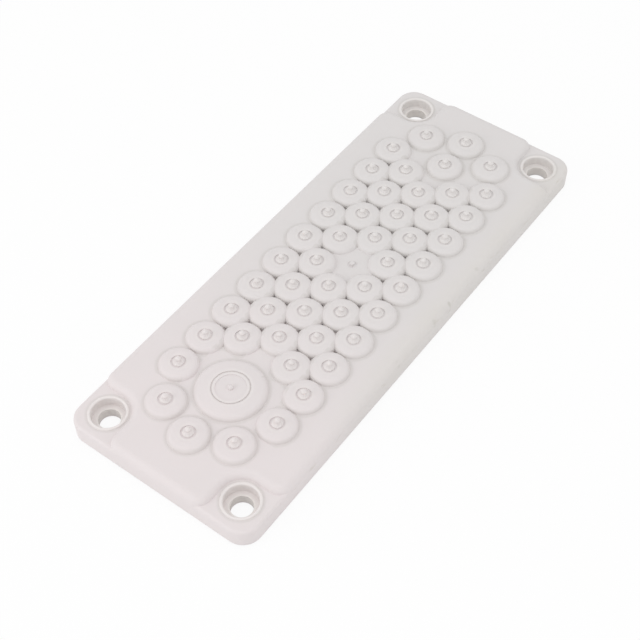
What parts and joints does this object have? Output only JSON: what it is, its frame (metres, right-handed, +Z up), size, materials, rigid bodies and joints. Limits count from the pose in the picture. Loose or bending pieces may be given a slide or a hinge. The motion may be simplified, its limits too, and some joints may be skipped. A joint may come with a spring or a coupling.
{
  "type": "multi-hole cable grommet plate",
  "caption": "Rectangular flange plate of soft plastic with a field of pierceable round cable membranes and a recessed screw hole in each corner, closing a cabinet's cable opening.",
  "frame": {"origin": "middle of the plate's outline, at the foot of the seal bead that it rests on", "axes": "+Y along the plate towards the end without the large membrane, +X across it, +Z up out of the membranes"},
  "size_m": [0.0826, 0.219, 0.0154],
  "materials": {
    "soft_plastic": "light grey moulded elastomer, matte"
  },
  "bodies": {
    "root": {"grommet_plate": "soft_plastic"}
  },
  "joints": []
}
